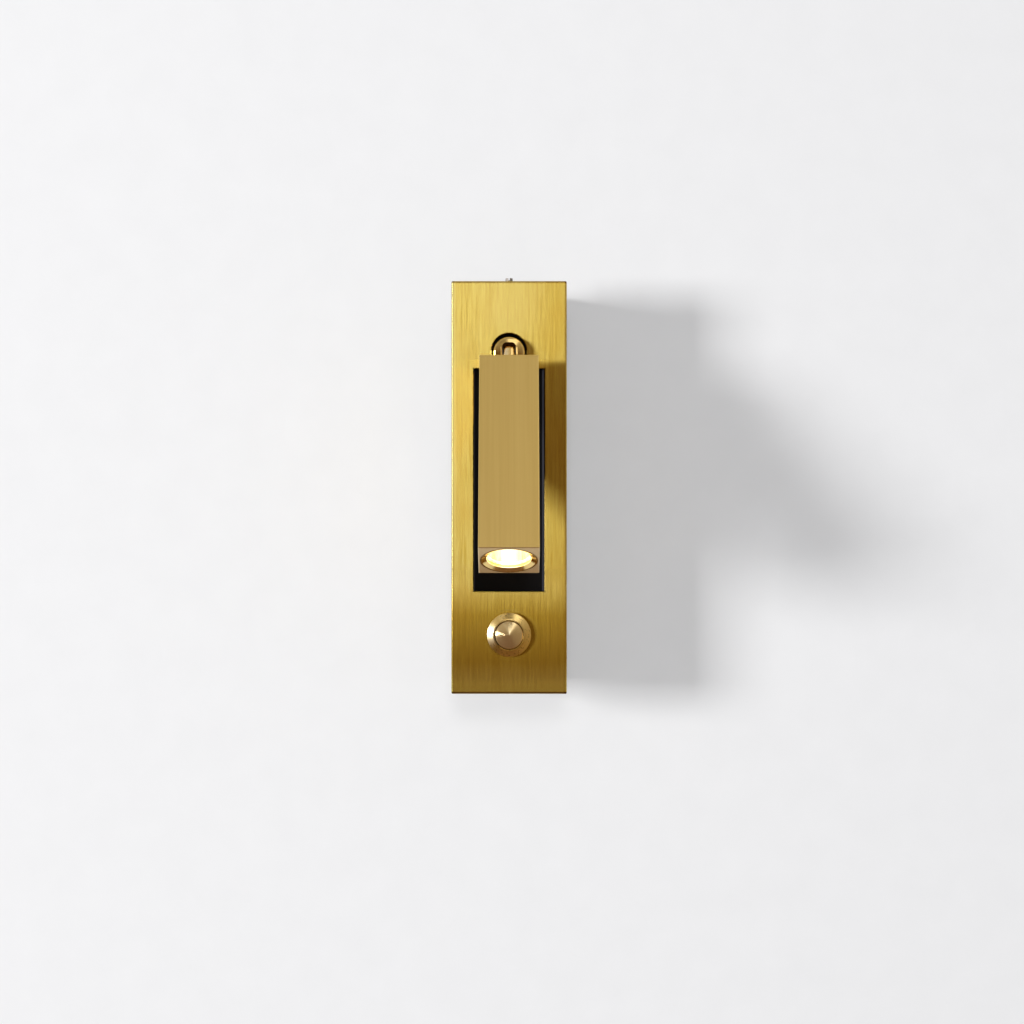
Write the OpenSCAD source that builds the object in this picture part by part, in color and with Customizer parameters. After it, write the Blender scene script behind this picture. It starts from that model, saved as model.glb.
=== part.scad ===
// Recessed reading wall light with a folding square head and a push switch.
// Millimetres. The back lies on the wall plane y = 0, the front looks towards -Y, and +Z is up.
// The origin is the centre of the back face, level with the middle of the front plate.

/* [Front plate] */
// Width of the front plate
plate_w = 47.5; // [46.5:0.5:56]
// Height of the front plate
plate_h = 170; // [168:1:190]
// Thickness of the front plate
plate_t = 3; // [2.4:0.1:4]
// Rounding of the front plate's outer edges
plate_edge_r = 0.7; // [0.3:0.1:1.2]
// Chamfer round the slot and the arch
slot_chamfer = 0.3; // [0.1:0.05:0.5]
// Distance from the wall to the front face of the plate
depth = 36; // [35:0.5:48]

/* [Back box] */
// How far the back box stands inside the plate's edge
box_inset = 3.5; // [3:0.1:3.9]
// Sheet thickness of the back box
box_wall = 1; // [0.8:0.1:1.3]
// Outer corner radius of the back box
box_corner_r = 2; // [1.6:0.1:3]
// Diameter of the two wall screw holes
wall_hole_d = 4.2; // [3.5:0.1:5]
// Distance between the two wall screw holes
wall_hole_spacing = 144; // [136:1:148]
// Distance from the switch's axis up to the cable entry
entry_rise = 36.7; // [36:0.1:38]
// Bore of the cable bushing
entry_bore_d = 7; // [5:0.5:9]

/* [Recess pocket] */
// Sheet thickness of the pocket and its carrier flange
sheet_t = 1; // [0.8:0.1:1.2]
// How far the pocket's walls stand back behind the slot's edge
pocket_lip = 0.9; // [0.5:0.1:1.2]
// Gap between the folded head and the pocket's floor
floor_gap = 1.95; // [1:0.05:2.4]
// Gap between the folded head and each side of the slot
head_side_gap = 2.55; // [1.5:0.05:2.8]
// Gap between the folded head and the top of the slot
head_top_gap = 1.2; // [0.6:0.1:2]
// Finger gap between the folded head and the bottom of the slot
finger_gap = 4.3; // [3:0.1:6]

/* [Hinge] */
// Share of the plate's spare height that lies above the hinge axis
hinge_share = 0.4123; // [0.4:0.0001:0.43]
// Tilt of the head from the folded position
tilt_deg = 25.6; // [0:0.2:90]
// Diameter of the round knuckle
knuckle_d = 13; // [12:0.1:13.4]
// How far the knuckle stands proud of the plate
knuckle_proud = 2.7; // [1:0.1:3]
// Rounding of the knuckle's front edge
knuckle_round = 1.2; // [0.6:0.1:1.8]
// How far the middle of the knuckle's face is crowned above its edge
knuckle_crown = 0.6; // [0.2:0.1:1]
// Slope of the bevels along the two sides of the knuckle's slot
knuckle_bevel_slope = 30; // [20:1:45]
// Gap between the knuckle and the sides of the arch
knuckle_gap = 0.75; // [0.4:0.05:1.2]
// How far the arch is raised above the knuckle
arch_rise = 0.85; // [0:0.05:1.2]
// Thickness of the head's tongue
tongue_t = 4.8; // [4.2:0.1:5.2]
// Radius of the tongue's eye
eye_r = 3.2; // [2.8:0.1:3.4]
// Diameter of the hinge pin
hinge_pin_d = 2.2; // [1.8:0.1:2.6]
// Diameter of the knuckle's threaded stem
stem_d = 8; // [7:0.5:9]
// Distance from the hinge axis to the top end of the head
neck = 7.6; // [7.3:0.1:9]
// Diameter of the tongue's threaded stub
stub_d = 4; // [3.6:0.1:4.6]

/* [Head] */
// Side of the square head
head_w = 24.1; // [23.6:0.1:25]
// Length of the head
head_len = 86.3; // [80:0.1:88]
// Radius of the head's long edges
head_edge_r = 0.4; // [0.2:0.1:0.6]
// Chamfer at the head's two ends
head_chamfer = 0.25; // [0.1:0.05:0.4]
// Bore of the head
head_bore_d = 20.6; // [20:0.1:21]
// Thickness of the head's closed top end
head_top_t = 4; // [3:0.5:6]

/* [Lens ring] */
// Outer diameter of the lens ring
ring_d = 22.4; // [22:0.1:22.8]
// Thickness of the lens ring's flange
ring_t = 1.2; // [1:0.1:2.4]
// Diameter of the light opening
ring_open_d = 17.8; // [16.6:0.1:18]
// Depth of the dished face of the ring
ring_dish = 0.9; // [0.2:0.1:1]
// Width of the flat rim outside the dish
ring_rim = 0.5; // [0.3:0.1:0.8]
// Length of the ring's threaded skirt
skirt_len = 6; // [5:0.5:8]

/* [Light engine] */
// Thickness of the front glass
glass_t = 1.2; // [1:0.1:2]
// Height of the reflector
reflector_h = 11; // [9:0.5:14]
// Thickness of the LED board
board_t = 1.6; // [1:0.1:2]
// Side of the LED package
chip_w = 4; // [3:0.1:4.2]
// Length of the heat sink
sink_len = 32; // [20:1:40]

/* [Push switch] */
// Share of the plate's spare height between the slot and the switch's axis
switch_share = 0.2493; // [0.24:0.0001:0.26]
// Diameter of the threaded barrel
barrel_d = 16; // [15.6:0.1:16.4]
// Diameter of the bezel
bezel_d = 18.1; // [17.8:0.1:19]
// Height of the bezel above its gasket
bezel_h = 1.9; // [1.6:0.1:2.4]
// Diameter of the push cap
cap_d = 11.6; // [11:0.1:12]
// Travel of the push cap
cap_travel = 1.5; // [1:0.1:2]
// Length of the barrel behind the plate's front face
barrel_len = 16; // [15:0.5:18]

/* [Hidden] */
$fn = 64;

// How far a cutter runs past the surface that it cuts
over = 1;
// Gap round a fixed piece that slips into its seat
slip = 0.1;
// Gap round a pin or a stem that turns or slides
running = 0.05;

// Back box
box_w = plate_w - 2 * box_inset;
box_h = plate_h - 2 * box_inset;
box_inner_w = box_w - 2 * box_wall;
box_inner_h = box_h - 2 * box_wall;
floor_h = -depth + box_wall;
hole_screw_gap = 0.4;
bushing_wall = 2.5;
bushing_d = entry_bore_d + 2 * bushing_wall;
bushing_flange_w = 2;
bushing_flange_d = bushing_d + 2 * bushing_flange_w;
bushing_flange_t = 2;

// Heights along the plate; the spare height is what the head, its neck and the finger gap leave
spare_h = plate_h - neck - head_len - finger_gap;
pivot_z = plate_h / 2 - spare_h * hinge_share;
slot_top = pivot_z - neck + head_top_gap;
slot_bottom = pivot_z - neck - head_len - finger_gap;
switch_z = slot_bottom - spare_h * switch_share;
entry_z = switch_z + entry_rise;

// Slot, arch and pocket
arch_r = knuckle_d / 2 + knuckle_gap;
arch_z = pivot_z + arch_rise;
slot_w = head_w + 2 * head_side_gap;
pocket_w = slot_w + 2 * pocket_lip;
pocket_top = arch_z + arch_r + pocket_lip;
pocket_bottom = slot_bottom - pocket_lip;
pocket_floor = -head_w / 2 - floor_gap;
carrier_gap = 0.4;
carrier_w = box_inner_w - 2 * carrier_gap;
carrier_h = box_inner_h - 2 * carrier_gap;
carrier_back = -plate_t - sheet_t;

// M3 studs behind the plate, and the nuts on them
m3_d = 3;
m3_nut_af = 5.5;
m3_nut_t = 2.4;
stud_len = 8;
stud_end_gap = 4.1;
stud_x = carrier_w / 2 - stud_end_gap;
stud_z = carrier_h / 2 - stud_end_gap;

// Set screw in the top of the box, its nut and tab, and the hook at the bottom
set_screw_back = -12;
set_screw_len = 14;
set_screw_proud = 5.7;
tab_w = 11;
tab_margin = 5;
tab_end = set_screw_back - tab_margin;
hook_w = 12;
hook_back = -11;
hook_drop = 2.1;

// Hinge
eye_floor_gap = 0.5;
eye_side_gap = 0.45;
eye_top_gap = 1;
knuckle_slot_depth = eye_r + eye_floor_gap;
knuckle_slot_w = tongue_t + 2 * eye_side_gap;
knuckle_slot_top = eye_r + eye_top_gap;
knuckle_slot_r = 1.9;
knuckle_bore_d = 3.4;
stem_nut_af = stem_d + 5;
stem_nut_t = 4;
stem_washer_w = 2.6;
stem_washer_t = 0.8;
stem_end_gap = 1.2;
stem_l = sheet_t + stem_washer_t + stem_nut_t + stem_end_gap;
tongue_round = 1.6;
washer_play = 0.05;
stub_bore_d = 2.2;
stub_nut_t = 3.2;
stub_nut_af = 7;
stub_l = head_top_t + stub_nut_t + 1;

// Light engine, stacked upwards from the lens end of the head
ring_gap = 0.3;
skirt_t = 0.8;
skirt_r = head_bore_d / 2 - slip;
seat_r = skirt_r - skirt_t;
glass_u = ring_t;
gasket_u = glass_u + glass_t;
gasket_t = 0.6;
reflector_u = gasket_u + gasket_t;
board_u = reflector_u + reflector_h;
sink_u = board_u + board_t;
reflector_wall = 0.7;
reflector_mouth_r = ring_open_d / 2 - 0.7;
reflector_base_r = 3.4;
board_screw_r = 7.3;
board_screw_d = 2;
board_screw_head_d = 3.6;
board_screw_head_h = 1.2;
board_screw_grip = 5;
sink_r = head_bore_d / 2 - slip / 2;
channel_w = 3;
channel_depth = 2.2;
lead_d = 1.0;
lead_pitch = 1.1;

// Push switch, in heights above the plate's front face
seal_t = 0.4;
bezel_edge = 0.5;
bezel_top = seal_t + bezel_h;
bezel_flat = 0.5;
cap_gap = 0.25;
cap_bore_r = cap_d / 2 + cap_gap;
cap_sunk = 0.25;
cap_face = bezel_top - cap_sunk;
cap_lip_t = 1.3;
cap_lip_w = 0.35;
cap_lip_r = cap_bore_r + cap_lip_w;
lip_h = -2.2;
cap_room = 8.8;
base_h = lip_h - cap_room;
barrel_wall = 0.95;
base_neck_r = barrel_d / 2 - barrel_wall;
base_len = 12;
guide_depth = 5;
cap_stem_r = 2;
tag_len = 6;
tag_w = 2.8;
tag_t = 0.5;
tag_x = 3.5;
tag_z = switch_z + 3.5;
tag_end = base_h - base_len - tag_len;
switch_nut_t = 2.5;
switch_nut_af = 19;
spring_r = 3.6;
spring_wire = 0.6;
spring_turns = 5;

// Driver, terminal block, earth stud and leads inside the box
pad_t = 1;
entry_gap = 10;
driver_w = 26;
driver_t = 15;
driver_low = entry_z + entry_gap;
driver_end_gap = 13.4;
driver_len = pivot_z - driver_end_gap - driver_low;
pole_pitch = 8;
poles = 3;
block_len = 12;
block_t = 14;
block_base_t = 8.4;
tower_gap = 1.2;
way_d = 3.6;
well_d = 4.2;
well_depth = 5;
clamp_screw_d = 4;
clamp_screw_len = 3;
block_top = entry_z - entry_gap;
block_low = block_top - block_len;
way_h = floor_h + block_base_t / 2;
wire_d = 1.6;
lead_side_x = box_inner_w / 2 - 2 * wire_d;
lead_lift = 12;
lead_h = floor_h + lead_lift;
lead_grip = 2;
lead_reach = 9;
lead_bend = [0, lead_reach, 0];
lead_turn = block_low - 1;
lead_rise = 4;
m4_d = 4;
m4_nut_af = 7;
m4_nut_t = 3.2;
earth_stud_len = 9;
earth_side_gap = 6.05;
earth_x = box_inner_w / 2 - earth_side_gap;
earth_z = entry_z - 1;
earth_point = [earth_x, earth_z - m4_d / 2 - wire_d / 2, floor_h + wire_d / 2];

// Frames that the pieces are drawn in

// X to the right, Y up and Z out of the wall, from the middle of the plate's front face
module on_face(z = 0) {
    translate([0, -depth, z]) rotate([90, 0, 0]) children();
}

// Upright head frame with its origin on the hinge axis, tilted with the head
module on_head() {
    translate([0, -depth, pivot_z]) rotate([-tilt_deg, 0, 0]) children();
}

// The head frame again, from the middle of the lens end with Z towards the hinge
module from_lens_end() {
    on_head() translate([0, 0, -neck - head_len]) children();
}

// Shapes that several pieces share

// Rectangle with round corners, centred
module round_rect(w, h, r) {
    square([w - 2 * r, h], center = true);
    square([w, h - 2 * r], center = true);
    for (x = [-1, 1], y = [-1, 1]) {
        translate([x * (w / 2 - r), y * (h / 2 - r)]) circle(r);
    }
}

// Section w wide and t high that stands on the X axis, with its two upper corners round
module crowned_section(w, t, r) {
    translate([-w / 2, 0]) square([w, t - r]);
    translate([-w / 2 + r, 0]) square([w - 2 * r, t]);
    for (x = [-1, 1]) translate([x * (w / 2 - r), t - r]) circle(r);
}

// Rectangle with its corners cut off, centred
module cut_corner_rect(w, h, c) {
    polygon([[-w / 2 + c, -h / 2], [w / 2 - c, -h / 2], [w / 2, -h / 2 + c], [w / 2, h / 2 - c],
        [w / 2 - c, h / 2], [-w / 2 + c, h / 2], [-w / 2, h / 2 - c], [-w / 2, -h / 2 + c]]);
}

// Flat ring of thickness t
module ring(outer_r, inner_r, t) {
    difference() {
        cylinder(h = t, r = outer_r);
        translate([0, 0, -over]) cylinder(h = t + 2 * over, r = inner_r);
    }
}

// Hexagon nut of width af across its flats
module hex_nut(af, t, hole_d) {
    difference() {
        cylinder(h = t, d = af / cos(30), $fn = 6);
        translate([0, 0, -over]) cylinder(h = t + 2 * over, d = hole_d);
    }
}

// Points of a smooth curve that leaves a by the vector da and comes in to b by the vector db
function curve(a, da, b, db, steps) = [for (i = [0:steps]) let (t = i / steps, s = 1 - t)
    s * s * s * a + 3 * s * s * t * (a + da) + 3 * s * t * t * (b - db) + t * t * t * b];

function heading(path, i) = let (v = path[min(i + 1, len(path) - 1)] - path[max(i - 1, 0)]) v / norm(v);

// Ring of points round place i of a path; across is a direction that the path never runs in
function ring_at(path, i, r, sides, across) = let (
    ahead = heading(path, i),
    side = cross(ahead, across) / norm(cross(ahead, across)),
    up = cross(side, ahead))
    [for (j = [0:sides - 1]) path[i] + r * cos(360 * j / sides) * side + r * sin(360 * j / sides) * up];

// Solid round lead or wire that follows a path
module tube(path, d, across, sides = 8) {
    last = len(path) - 1;
    points = [for (i = [0:last]) each ring_at(path, i, d / 2, sides, across)];
    walls = [for (i = [0:last - 1], j = [0:sides - 1]) let (
        a = i * sides + j,
        b = i * sides + (j + 1) % sides)
        each [[a, b + sides, a + sides], [a, b, b + sides]]];
    ends = [[for (j = [sides - 1:-1:0]) j], [for (j = [0:sides - 1]) last * sides + j]];
    polyhedron(points, concat(walls, ends));
}

// Front plate and what is fixed behind it

// Outline of the slot with the arch on top, seen from the front
module slot_outline() {
    translate([-slot_w / 2, slot_bottom]) square([slot_w, slot_top - slot_bottom]);
    translate([-arch_r, slot_top - over]) square([2 * arch_r, arch_z - slot_top + over]);
    translate([0, arch_z]) circle(arch_r);
}

// Bar that cuts a 45 degree chamfer along an edge of the plate's front face
module chamfer_bar(from, to) {
    run = to - from;
    side = slot_chamfer * sqrt(2);
    translate(concat(from, 0)) rotate([0, 0, atan2(run[1], run[0])]) rotate([45, 0, 0])
        translate([-slot_chamfer, -side / 2, -side / 2])
            cube([norm(run) + 2 * slot_chamfer, side, side]);
}

module slot_chamfers() {
    x = slot_w / 2;
    chamfer_bar([-x, slot_bottom], [x, slot_bottom]);
    chamfer_bar([-x, slot_bottom], [-x, slot_top]);
    chamfer_bar([x, slot_bottom], [x, slot_top]);
    chamfer_bar([-x, slot_top], [x, slot_top]);
    chamfer_bar([-arch_r, slot_top], [-arch_r, arch_z - slot_chamfer]);
    chamfer_bar([arch_r, slot_top], [arch_r, arch_z - slot_chamfer]);
    translate([0, arch_z, -slot_chamfer])
        cylinder(h = 2 * slot_chamfer, r1 = arch_r, r2 = arch_r + 2 * slot_chamfer);
}

// Brass plate with round outer edges
module front_plate() {
    color("goldenrod") on_face() difference() {
        intersection() {
            translate([0, 0, -plate_t - over]) linear_extrude(plate_t + 2 * over)
                round_rect(plate_w, plate_h, plate_edge_r);
            translate([0, plate_h / 2 + over, -plate_t]) rotate([90, 0, 0])
                linear_extrude(plate_h + 2 * over) crowned_section(plate_w, plate_t, plate_edge_r);
            translate([-plate_w / 2 - over, 0, -plate_t]) rotate([90, 0, 90])
                linear_extrude(plate_w + 2 * over) crowned_section(plate_h, plate_t, plate_edge_r);
        }
        translate([0, 0, -plate_t - over]) linear_extrude(plate_t + 2 * over) slot_outline();
        slot_chamfers();
        translate([0, switch_z, -plate_t - over]) cylinder(h = plate_t + 2 * over, d = barrel_d + 2 * slip);
    }
}

// Places of the four studs
module at_studs() {
    for (x = [-1, 1], y = [-1, 1]) translate([x * stud_x, y * stud_z, 0]) children();
}

module plate_studs() {
    color("silver") on_face() at_studs() translate([0, 0, -plate_t - stud_len])
        cylinder(h = stud_len, d = m3_d);
}

module stud_nuts() {
    color("silver") on_face() at_studs() translate([0, 0, carrier_back - m3_nut_t])
        hex_nut(m3_nut_af, m3_nut_t, m3_d + 2 * running);
}

// Round cutter through a sheet that starts at height 0
module sheet_hole(d) {
    translate([0, 0, -over]) cylinder(h = sheet_t + 2 * over, d = d);
}

// Black folded sheet: a flange that lies behind the plate, the tray that the head folds into,
// a tab for the set screw at the top and a hook into the box at the bottom
module recess_pocket() {
    tray_h = pocket_top - pocket_bottom;
    tray_z = (pocket_top + pocket_bottom) / 2;
    color("dimgray") on_face() difference() {
        union() {
            translate([0, 0, carrier_back]) linear_extrude(sheet_t)
                round_rect(carrier_w, carrier_h, box_corner_r - box_wall);
            translate([0, tray_z, pocket_floor - sheet_t]) linear_extrude(-plate_t - pocket_floor + sheet_t)
                round_rect(pocket_w + 2 * sheet_t, tray_h + 2 * sheet_t, 2 * sheet_t);
            translate([-tab_w / 2, carrier_h / 2 - sheet_t, tab_end])
                cube([tab_w, sheet_t, -plate_t - tab_end]);
            translate([-hook_w / 2, -carrier_h / 2, hook_back]) cube([hook_w, sheet_t, -plate_t - hook_back]);
            translate([-hook_w / 2, -carrier_h / 2 - hook_drop, hook_back])
                cube([hook_w, hook_drop + sheet_t, sheet_t]);
        }
        translate([0, tray_z, pocket_floor]) linear_extrude(-pocket_floor)
            round_rect(pocket_w, tray_h, sheet_t);
        translate([0, pivot_z, pocket_floor - sheet_t]) sheet_hole(stem_d + 2 * slip);
        translate([0, switch_z, carrier_back]) sheet_hole(barrel_d + 2 * slip);
        at_studs() translate([0, 0, carrier_back]) sheet_hole(m3_d + hole_screw_gap);
        translate([0, carrier_h / 2, set_screw_back]) rotate([90, 0, 0]) sheet_hole(m3_d + hole_screw_gap);
    }
}

// Back box, and what is fixed in it

// Black steel tray that sits in the wall or on it
module back_box() {
    box_d = depth - plate_t;
    color("dimgray") on_face() difference() {
        translate([0, 0, -depth]) linear_extrude(box_d) round_rect(box_w, box_h, box_corner_r);
        translate([0, 0, floor_h]) linear_extrude(box_d)
            round_rect(box_inner_w, box_inner_h, box_corner_r - box_wall);
        for (y = [-1, 1]) translate([0, y * wall_hole_spacing / 2, -depth - over])
            cylinder(h = box_wall + 2 * over, d = wall_hole_d);
        translate([0, entry_z, -depth - over]) cylinder(h = box_wall + 2 * over, d = bushing_d);
        translate([0, box_h / 2 + over, set_screw_back]) rotate([90, 0, 0])
            cylinder(h = box_wall + 2 * over, d = m3_d + hole_screw_gap);
        translate([-hook_w / 2 - hole_screw_gap, -box_h / 2 - over, hook_back - hole_screw_gap])
            cube([hook_w + 2 * hole_screw_gap, box_wall + 2 * over, sheet_t + 2 * hole_screw_gap]);
    }
}

// Bushing pressed in from inside, flush with the back of the box
module cable_bushing() {
    color("dimgray") on_face(entry_z) translate([0, 0, -depth]) difference() {
        union() {
            cylinder(h = box_wall, d = bushing_d);
            translate([0, 0, box_wall]) cylinder(h = bushing_flange_t, d = bushing_flange_d);
        }
        translate([0, 0, -over]) cylinder(h = box_wall + bushing_flange_t + 2 * over, d = entry_bore_d);
    }
}

module earth_stud() {
    color("silver") on_face(earth_z) translate([earth_x, 0, floor_h]) cylinder(h = earth_stud_len, d = m4_d);
}

module earth_nut() {
    color("gold") on_face(earth_z) translate([earth_x, 0, floor_h + wire_d + 2 * slip])
        hex_nut(m4_nut_af, m4_nut_t, m4_d + 2 * running);
}

// Pole n of the terminal block, counted from the left
function pole_x(n) = (n - (poles - 1) / 2) * pole_pitch;

// White block with a wire way through each pole and a well for its screw
module terminal_block() {
    block_w = poles * pole_pitch;
    color("white") on_face(block_top - block_len / 2) translate([0, 0, floor_h]) difference() {
        union() {
            translate([-block_w / 2, -block_len / 2, 0]) cube([block_w, block_len, block_base_t]);
            for (n = [0:poles - 1]) translate([pole_x(n), 0, 0])
                cylinder(h = block_t, d = pole_pitch - tower_gap);
        }
        for (n = [0:poles - 1]) {
            translate([pole_x(n), block_len / 2 + over, block_base_t / 2]) rotate([90, 0, 0])
                cylinder(h = block_len + 2 * over, d = way_d);
            translate([pole_x(n), 0, block_t - well_depth]) cylinder(h = well_depth + over, d = well_d);
        }
    }
}

// Headless screw that stands on its tip, with a slot across its top
module slotted_screw(d, length, slot_w, slot_depth) {
    difference() {
        cylinder(h = length, d = d);
        translate([0, 0, length]) cube([d + over, slot_w, 2 * slot_depth], center = true);
    }
}

// Slotted clamp screws, one in each well
module terminal_screws() {
    color("silver") on_face(block_top - block_len / 2) for (n = [0:poles - 1])
        translate([pole_x(n), 0, floor_h + block_t - well_depth])
            slotted_screw(clamp_screw_d, clamp_screw_len, 0.8, 0.8);
}

// Potted driver with a seam round its lid and a wire hole at each end
module led_driver() {
    case_r = 2;
    seam = 0.5;
    lid_t = 3;
    hole_depth = 1.5;
    color("whitesmoke") on_face(driver_low + driver_len / 2) translate([0, 0, floor_h + pad_t]) difference() {
        linear_extrude(driver_t) round_rect(driver_w, driver_len, case_r);
        translate([0, 0, driver_t - lid_t]) difference() {
            linear_extrude(seam) square([driver_w + over, driver_len + over], center = true);
            translate([0, 0, -over]) linear_extrude(seam + 2 * over)
                round_rect(driver_w - 2 * seam, driver_len - 2 * seam, case_r - seam);
        }
        for (x = [-1, 1], y = [-1, 1])
            translate([x * (y < 0 ? pole_pitch : lead_pitch), y * driver_len / 2, lead_h - floor_h - pad_t])
                rotate([90, 0, 0]) cylinder(h = 2 * hole_depth, d = wire_d + 2 * slip, center = true);
    }
}

module driver_pad() {
    margin = 2.5;
    color("gray") on_face(driver_low + driver_len / 2) translate([0, 0, floor_h]) linear_extrude(pad_t)
        square([driver_w - 2 * margin, driver_len - 2 * margin], center = true);
}

// Where a lead that is soldered to a tag ends, beside the tag's outer face
function solder_point(side) = [side * (tag_x + tag_t / 2 + wire_d / 2), tag_z, tag_end + tag_len / 2];

// Neutral to the driver, live to the switch and earth to its stud
module mains_leads() {
    color("steelblue") on_face() tube(concat(
        curve([pole_x(0), block_low + lead_grip, way_h], -lead_bend,
            [-lead_side_x, lead_turn, lead_h], lead_bend, 14),
        curve([-lead_side_x, lead_turn + lead_rise, lead_h], lead_bend,
            [-pole_pitch, driver_low + 1, lead_h], lead_bend, 12)), wire_d, [0.2, 0.1, 1]);
    color("saddlebrown") on_face() tube(concat([[pole_x(1), block_low + lead_grip, way_h]],
        curve([pole_x(1), block_low - 0.5, way_h], [-6, -6, 0], solder_point(-1), [0, 0, 6], 14)),
        wire_d, [1, -0.5, 0]);
    color("limegreen") on_face() tube(concat(
        curve([pole_x(2), block_low + lead_grip, way_h], -lead_bend,
            [lead_side_x, lead_turn, way_h], lead_bend, 14),
        curve([lead_side_x, lead_turn + lead_rise, way_h], lead_bend, earth_point, lead_bend / 2, 10)),
        wire_d, [0.2, 0.1, 1]);
}

// Switched live, up the right side to the driver
module switch_lead() {
    color("saddlebrown") on_face() tube(concat(
        curve(solder_point(1), [0, 0, -6], [lead_side_x, lead_turn, lead_h], lead_bend, 14),
        curve([lead_side_x, lead_turn + lead_rise, lead_h], lead_bend,
            [pole_pitch, driver_low + 1, lead_h], lead_bend, 14)), wire_d, [1, -0.5, 0]);
}

// Low-voltage pair from the driver into the knuckle's bore, where it ends short of the tongue
module lamp_leads() {
    start = [0, driver_low + driver_len - 1, lead_h];
    mouth = [0, pivot_z, pocket_floor - stem_l - 1];
    for (x = [-1, 1]) color(x < 0 ? "black" : "firebrick") on_face() tube(concat(
        [start + [x * lead_pitch, 0, 0]],
        curve(start + [x * lead_pitch, 1.5, 0], [0, 8, -5],
            mouth + [x * lead_pitch / 2, 0, 0], [0, 0, 6], 16),
        [[x * lead_pitch / 2, pivot_z, -knuckle_slot_depth - 0.8]]), lead_d, [1, 0, 0]);
}

// Slotted set screw through the top of the box
module top_set_screw() {
    top = box_h / 2 + set_screw_proud;
    color("silver") on_face() translate([0, top - set_screw_len, set_screw_back]) rotate([-90, 90, 0])
        slotted_screw(m3_d, set_screw_len, 0.6, 0.9);
}

module set_screw_nut() {
    color("silver") on_face() translate([0, carrier_h / 2 - sheet_t, set_screw_back]) rotate([90, 0, 0])
        hex_nut(m3_nut_af, m3_nut_t, m3_d + 2 * running);
}

// Hinge

// Round knuckle with a crowned face, a clevis slot in front and a hollow threaded stem behind
module knuckle() {
    body_l = knuckle_proud - pocket_floor;
    slot_h = knuckle_slot_top + knuckle_d;
    flat_r = knuckle_d / 2 - knuckle_round;
    crown_r = (flat_r ^ 2 + 2 * knuckle_round * knuckle_crown + knuckle_crown ^ 2) / (2 * knuckle_crown);
    crown_edge = flat_r * crown_r / (crown_r - knuckle_round);
    bevel_w = 3 * knuckle_crown;
    color("goldenrod") on_face(pivot_z) difference() {
        union() {
            translate([0, 0, pocket_floor]) rotate_extrude() {
                square([flat_r, body_l]);
                square([knuckle_d / 2, body_l - knuckle_round]);
                translate([flat_r, body_l - knuckle_round]) intersection() {
                    circle(knuckle_round);
                    square(knuckle_round + over);
                }
                intersection() {
                    translate([0, body_l + knuckle_crown - crown_r]) circle(crown_r);
                    square([crown_edge, body_l + knuckle_crown]);
                }
            }
            translate([0, 0, pocket_floor - stem_l]) cylinder(h = stem_l + over, d = stem_d);
        }
        translate([0, knuckle_slot_top - slot_h / 2, -knuckle_slot_depth])
            linear_extrude(knuckle_slot_depth + knuckle_proud + knuckle_crown + over)
            round_rect(knuckle_slot_w, slot_h, knuckle_slot_r);
        for (x = [-1, 1]) translate([x * knuckle_slot_w / 2, (knuckle_slot_top - knuckle_d) / 2, knuckle_proud])
            rotate([0, -x * knuckle_bevel_slope, 0]) translate([0, 0, bevel_w / 2])
            cube([3 * bevel_w, knuckle_d, bevel_w], center = true);
        translate([0, 0, pocket_floor - stem_l - over])
            cylinder(h = stem_l + over - pocket_floor, d = knuckle_bore_d);
        rotate([0, 90, 0]) cylinder(h = knuckle_d + over, d = hinge_pin_d + 2 * running, center = true);
    }
}

module knuckle_washer() {
    color("silver") on_face(pivot_z) translate([0, 0, pocket_floor - sheet_t - stem_washer_t])
        ring(stem_d / 2 + stem_washer_w, stem_d / 2 + slip, stem_washer_t);
}

module knuckle_nut() {
    color("silver") on_face(pivot_z) translate([0, 0, pocket_floor - sheet_t - stem_washer_t - stem_nut_t])
        hex_nut(stem_nut_af, stem_nut_t, stem_d + 2 * running);
}

// Pin across the knuckle, flush with its sides
module hinge_pin() {
    pin_l = sqrt(knuckle_d * knuckle_d - hinge_pin_d * hinge_pin_d) - 2 * slip;
    color("silver") on_face(pivot_z) rotate([0, 90, 0]) cylinder(h = pin_l, d = hinge_pin_d, center = true);
}

// One friction washer on each side of the tongue
module friction_washers() {
    washer_t = (knuckle_slot_w - tongue_t) / 2 - 2 * washer_play;
    color("dimgray") on_face(pivot_z) for (x = [-1, 1])
        translate([x * (tongue_t / 2 + washer_play + washer_t / 2), 0, 0]) rotate([0, 90, 0])
            translate([0, 0, -washer_t / 2]) ring(eye_r - 0.6, hinge_pin_d / 2 + running, washer_t);
}

// Tongue with a rounded eye on the pin and a hollow threaded stub through the head's top
module head_tongue() {
    port_z = -hinge_pin_d / 2 - 2.6;
    color("goldenrod") on_head() difference() {
        union() {
            rotate([0, 90, 0]) rotate_extrude() {
                translate([0, -tongue_t / 2]) square([eye_r - tongue_round, tongue_t]);
                translate([0, -tongue_t / 2 + tongue_round]) square([eye_r, tongue_t - 2 * tongue_round]);
                for (x = [-1, 1]) translate([eye_r - tongue_round, x * (tongue_t / 2 - tongue_round)])
                    intersection() {
                        circle(tongue_round);
                        translate([0, -tongue_round]) square([tongue_round, 2 * tongue_round]);
                    }
            }
            translate([0, 0, -neck]) linear_extrude(neck) round_rect(tongue_t, 2 * eye_r, tongue_round);
            translate([0, 0, -neck - stub_l]) cylinder(h = stub_l + over, d = stub_d);
        }
        rotate([0, 90, 0]) cylinder(h = tongue_t + over, d = hinge_pin_d + 2 * running, center = true);
        translate([0, 0, -neck - stub_l - over])
            cylinder(h = neck + stub_l + over + port_z, d = stub_bore_d);
        translate([0, 0, port_z]) rotate([-90, 0, 0]) cylinder(h = eye_r + over, d = stub_bore_d);
    }
}

module tongue_nut() {
    color("silver") on_head() translate([0, 0, -neck - head_top_t - stub_nut_t])
        hex_nut(stub_nut_af, stub_nut_t, stub_d + 2 * running);
}

// Head

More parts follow.
